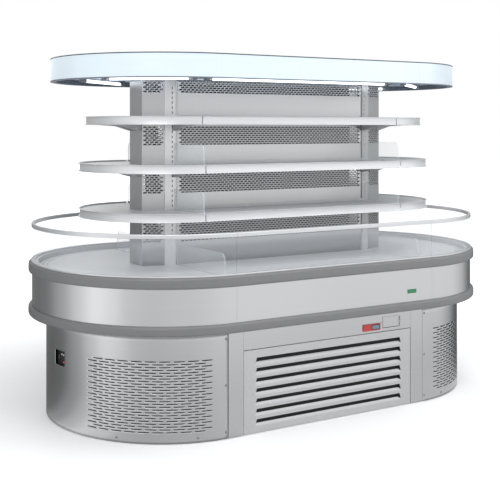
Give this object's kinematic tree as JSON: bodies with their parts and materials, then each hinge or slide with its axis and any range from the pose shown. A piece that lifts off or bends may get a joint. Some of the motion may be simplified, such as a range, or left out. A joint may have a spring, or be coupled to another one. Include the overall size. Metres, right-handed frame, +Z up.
{
  "type": "open multideck display fridge",
  "caption": "Stadium-plan island display fridge: vented steel cabinet, glass-rimmed cold deck, central air column with tiered shelves and a backlit canopy.",
  "frame": {"origin": "on the floor, at the centre of the plan", "axes": "+Z up, X along the length, the customer's front with the thermometer and flap faces -Y"},
  "size_m": [2.62, 1.412, 1.8],
  "materials": {
    "frame_steel": "satin grey paint",
    "foot": "matt",
    "stainless": "brushed stainless, grain along the panel",
    "grille_steel": "satin silver paint",
    "thermometer_case": "gloss",
    "control_black": "matt",
    "button": "gloss",
    "screw": "plain",
    "bumper": "satin grey",
    "tub": "satin liner",
    "insulation": "satin liner over foam",
    "aluminium": "satin anodised",
    "glass": "clear",
    "shelf_paint": "satin light grey powder coat",
    "bracket": "satin grey paint",
    "acrylic": "clear acrylic",
    "canopy_paint": "satin dark grey",
    "diffuser": "backlit opal",
    "lamp": "opal tube",
    "holder": "satin white",
    "coil": "bare fins",
    "fan": "matt black",
    "motor": "satin black",
    "copper_pipe": "copper coloured",
    "box": "grey"
  },
  "bodies": {
    "cabinet": {"base_frame": "frame_steel", "levelling_feet": "foot", "end_panel_left": "stainless", "end_panel_right": "stainless", "corner_fillers": "stainless", "top_strips": "grille_steel", "thermometer": "thermometer_case", "controller": "control_black", "panel_screws": "screw", "lower_bumper": "bumper", "upper_bumper": "bumper", "band_sides": "stainless", "band_ends": "stainless", "insulated_tub": "insulation", "return_grille": "tub", "glass_channel": "aluminium", "top_rail": "aluminium", "glass_front": "glass", "glass_rear": "glass", "glass_left": "glass", "glass_right": "glass", "column_frame": "shelf_paint", "column_panel_front": "stainless", "column_panel_rear": "stainless", "column_noses": "stainless", "shelf_brackets": "bracket", "dividers": "acrylic", "canopy_tray": "canopy_paint", "canopy_diffuser": "diffuser", "canopy_cover": "canopy_paint", "lamp_tubes": "lamp", "lamp_holders": "holder", "condenser_coil": "coil", "fan_motors": "motor", "evaporator_coil": "coil", "compressor": "motor", "pipework": "copper_pipe", "electrical_box": "box", "drain_pan": "box"},
    "condenser_fan": {"condenser_fan": "fan"},
    "evaporator_fan_left": {"evaporator_fan_left": "fan"},
    "evaporator_fan_right": {"evaporator_fan_right": "fan"},
    "service_flap": {"service_flap": "grille_steel"},
    "grille_front": {"grille_front": "grille_steel"},
    "grille_rear": {"grille_rear": "grille_steel"},
    "button_up": {"button_up": "button"},
    "button_down": {"button_down": "button"},
    "power_switch": {"power_switch": "button"},
    "deck_front": {"deck_front": "tub"},
    "deck_rear": {"deck_rear": "tub"},
    "deck_ends": {"deck_ends": "tub"},
    "shelf_high_front": {"shelf_high_front": "shelf_paint"},
    "shelf_high_rear": {"shelf_high_rear": "shelf_paint"},
    "shelf_high_ends": {"shelf_high_ends": "shelf_paint"},
    "shelf_middle_front": {"shelf_middle_front": "shelf_paint"},
    "shelf_middle_rear": {"shelf_middle_rear": "shelf_paint"},
    "shelf_middle_ends": {"shelf_middle_ends": "shelf_paint"},
    "shelf_low_front": {"shelf_low_front": "shelf_paint"},
    "shelf_low_rear": {"shelf_low_rear": "shelf_paint"},
    "shelf_low_ends": {"shelf_low_ends": "shelf_paint"}
  },
  "joints": [
    {"name": "condenser_fan_spin", "type": "hinge", "parent": "cabinet", "child": "condenser_fan", "pos_m": [-0.26, -0.4385, 0.2323], "axis": [0, 1, 0], "continuous": true},
    {"name": "evaporator_fan_left_spin", "type": "hinge", "parent": "cabinet", "child": "evaporator_fan_left", "pos_m": [-0.22, -0.15, 0.6316], "axis": [0, 1, 0], "continuous": true},
    {"name": "evaporator_fan_right_spin", "type": "hinge", "parent": "cabinet", "child": "evaporator_fan_right", "pos_m": [0.22, -0.15, 0.6316], "axis": [0, 1, 0], "continuous": true},
    {"name": "flap_swing", "type": "hinge", "parent": "cabinet", "child": "service_flap", "pos_m": [0.4463, -0.6189, 0.4455], "axis": [0, 0, 1], "range_deg": [0, 100]},
    {"name": "grille_front_lift_off", "type": "slide", "parent": "cabinet", "child": "grille_front", "axis": [0, -1, 0], "range_m": [0, 0.12]},
    {"name": "grille_rear_lift_off", "type": "slide", "parent": "cabinet", "child": "grille_rear", "axis": [0, 1, 0], "range_m": [0, 0.12]},
    {"name": "button_up_press", "type": "slide", "parent": "cabinet", "child": "button_up", "axis": [1, 0, 0], "range_m": [0, 0.0015], "stiffness_N_per_m": 400},
    {"name": "button_down_press", "type": "slide", "parent": "cabinet", "child": "button_down", "axis": [1, 0, 0], "range_m": [0, 0.0015], "stiffness_N_per_m": 400},
    {"name": "power_switch_rock", "type": "hinge", "parent": "cabinet", "child": "power_switch", "pos_m": [-1.2, -0.0266, 0.335], "axis": [0, 1, 0], "range_deg": [-8, 8]},
    {"name": "deck_front_lift_out", "type": "slide", "parent": "cabinet", "child": "deck_front", "axis": [0, 0, 1], "range_m": [0, 0.08]},
    {"name": "deck_rear_lift_out", "type": "slide", "parent": "cabinet", "child": "deck_rear", "axis": [0, 0, 1], "range_m": [0, 0.08]},
    {"name": "deck_ends_lift_out", "type": "slide", "parent": "cabinet", "child": "deck_ends", "axis": [0, 0, 1], "range_m": [0, 0.08]},
    {"name": "shelf_high_front_lift_off", "type": "slide", "parent": "cabinet", "child": "shelf_high_front", "axis": [0, 0, 1], "range_m": [0, 0.04]},
    {"name": "shelf_high_rear_lift_off", "type": "slide", "parent": "cabinet", "child": "shelf_high_rear", "axis": [0, 0, 1], "range_m": [0, 0.04]},
    {"name": "shelf_high_ends_lift_off", "type": "slide", "parent": "cabinet", "child": "shelf_high_ends", "axis": [0, 0, 1], "range_m": [0, 0.04]},
    {"name": "shelf_middle_front_lift_off", "type": "slide", "parent": "cabinet", "child": "shelf_middle_front", "axis": [0, 0, 1], "range_m": [0, 0.04]},
    {"name": "shelf_middle_rear_lift_off", "type": "slide", "parent": "cabinet", "child": "shelf_middle_rear", "axis": [0, 0, 1], "range_m": [0, 0.04]},
    {"name": "shelf_middle_ends_lift_off", "type": "slide", "parent": "cabinet", "child": "shelf_middle_ends", "axis": [0, 0, 1], "range_m": [0, 0.04]},
    {"name": "shelf_low_front_lift_off", "type": "slide", "parent": "cabinet", "child": "shelf_low_front", "axis": [0, 0, 1], "range_m": [0, 0.04]},
    {"name": "shelf_low_rear_lift_off", "type": "slide", "parent": "cabinet", "child": "shelf_low_rear", "axis": [0, 0, 1], "range_m": [0, 0.04]},
    {"name": "shelf_low_ends_lift_off", "type": "slide", "parent": "cabinet", "child": "shelf_low_ends", "axis": [0, 0, 1], "range_m": [0, 0.04]}
  ]
}
